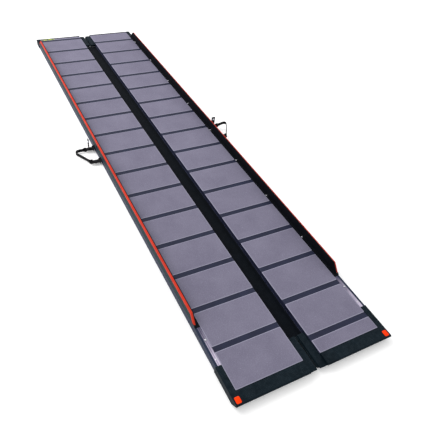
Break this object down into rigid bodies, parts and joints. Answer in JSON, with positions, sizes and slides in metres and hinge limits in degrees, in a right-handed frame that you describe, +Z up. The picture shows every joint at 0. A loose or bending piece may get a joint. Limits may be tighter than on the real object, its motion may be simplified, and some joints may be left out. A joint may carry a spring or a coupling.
{
  "type": "folding dog ramp",
  "caption": "Long two-track dog ramp with textured grip pads, raised side curbs, webbing carry handles and two panels that fold face to face about a rubber hinge band.",
  "frame": {"origin": "on the ground plane, below the middle of the unfolded ramp", "axes": "+X across the ramp to the right seen from the near end, +Y up the ramp from the toe shoes to the head shoes, +Z up out of the tread"},
  "size_m": [0.8616, 2.85, 0.0783],
  "materials": {
    "deck_skin": "satin",
    "foam": "matte",
    "grip": "matte",
    "dark_aluminium": "satin",
    "bright_rail": "satin",
    "curb_board": "satin",
    "trim": "satin",
    "steel": "satin",
    "shoe_plastic": "satin",
    "marker": "satin",
    "bracket_plastic": "matte",
    "webbing": "matte",
    "snap": "polished",
    "rubber_band": "matte",
    "label": "satin"
  },
  "bodies": {
    "hinge_band": {"hinge_band": "rubber_band"},
    "right_panel": {"right_top_skin": "deck_skin", "right_foam_core": "foam", "right_bottom_skin": "deck_skin", "right_grip_pads": "grip", "right_far_grip_pad": "grip", "right_hinge_channel": "deck_skin", "right_edge_beam": "dark_aluminium", "right_edge_rail": "bright_rail", "right_edge_filler": "dark_aluminium", "right_curb": "curb_board", "right_curb_trim": "trim", "right_rail_screw": "steel", "right_curb_rivets": "steel", "right_toe_shoe": "shoe_plastic", "right_head_shoe": "shoe_plastic", "right_corner_marker": "marker", "right_handle_brackets": "bracket_plastic", "right_handle_pins": "steel", "right_near_grip_pad": "grip"},
    "left_panel": {"left_top_skin": "deck_skin", "left_foam_core": "foam", "left_bottom_skin": "deck_skin", "left_grip_pads": "grip", "left_far_grip_pad": "grip", "left_hinge_channel": "deck_skin", "left_edge_beam": "dark_aluminium", "left_edge_rail": "bright_rail", "left_edge_filler": "dark_aluminium", "left_curb": "curb_board", "left_curb_trim": "trim", "left_rail_screw": "steel", "left_curb_rivets": "steel", "left_toe_shoe": "shoe_plastic", "left_head_shoe": "shoe_plastic", "left_corner_marker": "marker", "left_handle_brackets": "bracket_plastic", "left_handle_pins": "steel", "blank_label": "label"},
    "right_handle": {"right_handle_webbing": "webbing", "right_closure_tab": "webbing", "right_snap_button": "snap"},
    "left_handle": {"left_handle_webbing": "webbing", "left_closure_tab": "webbing", "left_snap_button": "snap"}
  },
  "joints": [
    {"name": "right_fold", "type": "hinge", "parent": "hinge_band", "child": "right_panel", "pos_m": [0.033, 0, 0.006], "axis": [0, -1, 0], "range_deg": [0, 82.5]},
    {"name": "left_fold", "type": "hinge", "parent": "hinge_band", "child": "left_panel", "pos_m": [-0.033, 0, 0.006], "axis": [0, 1, 0], "range_deg": [0, 82.5]},
    {"name": "right_handle_swing", "type": "hinge", "parent": "right_panel", "child": "right_handle", "pos_m": [0.3345, 0.018, 0.012], "axis": [0, -1, 0], "range_deg": [-14, 9]},
    {"name": "left_handle_swing", "type": "hinge", "parent": "left_panel", "child": "left_handle", "pos_m": [-0.3345, 0.033, 0.012], "axis": [0, 1, 0], "range_deg": [0, 25]}
  ]
}
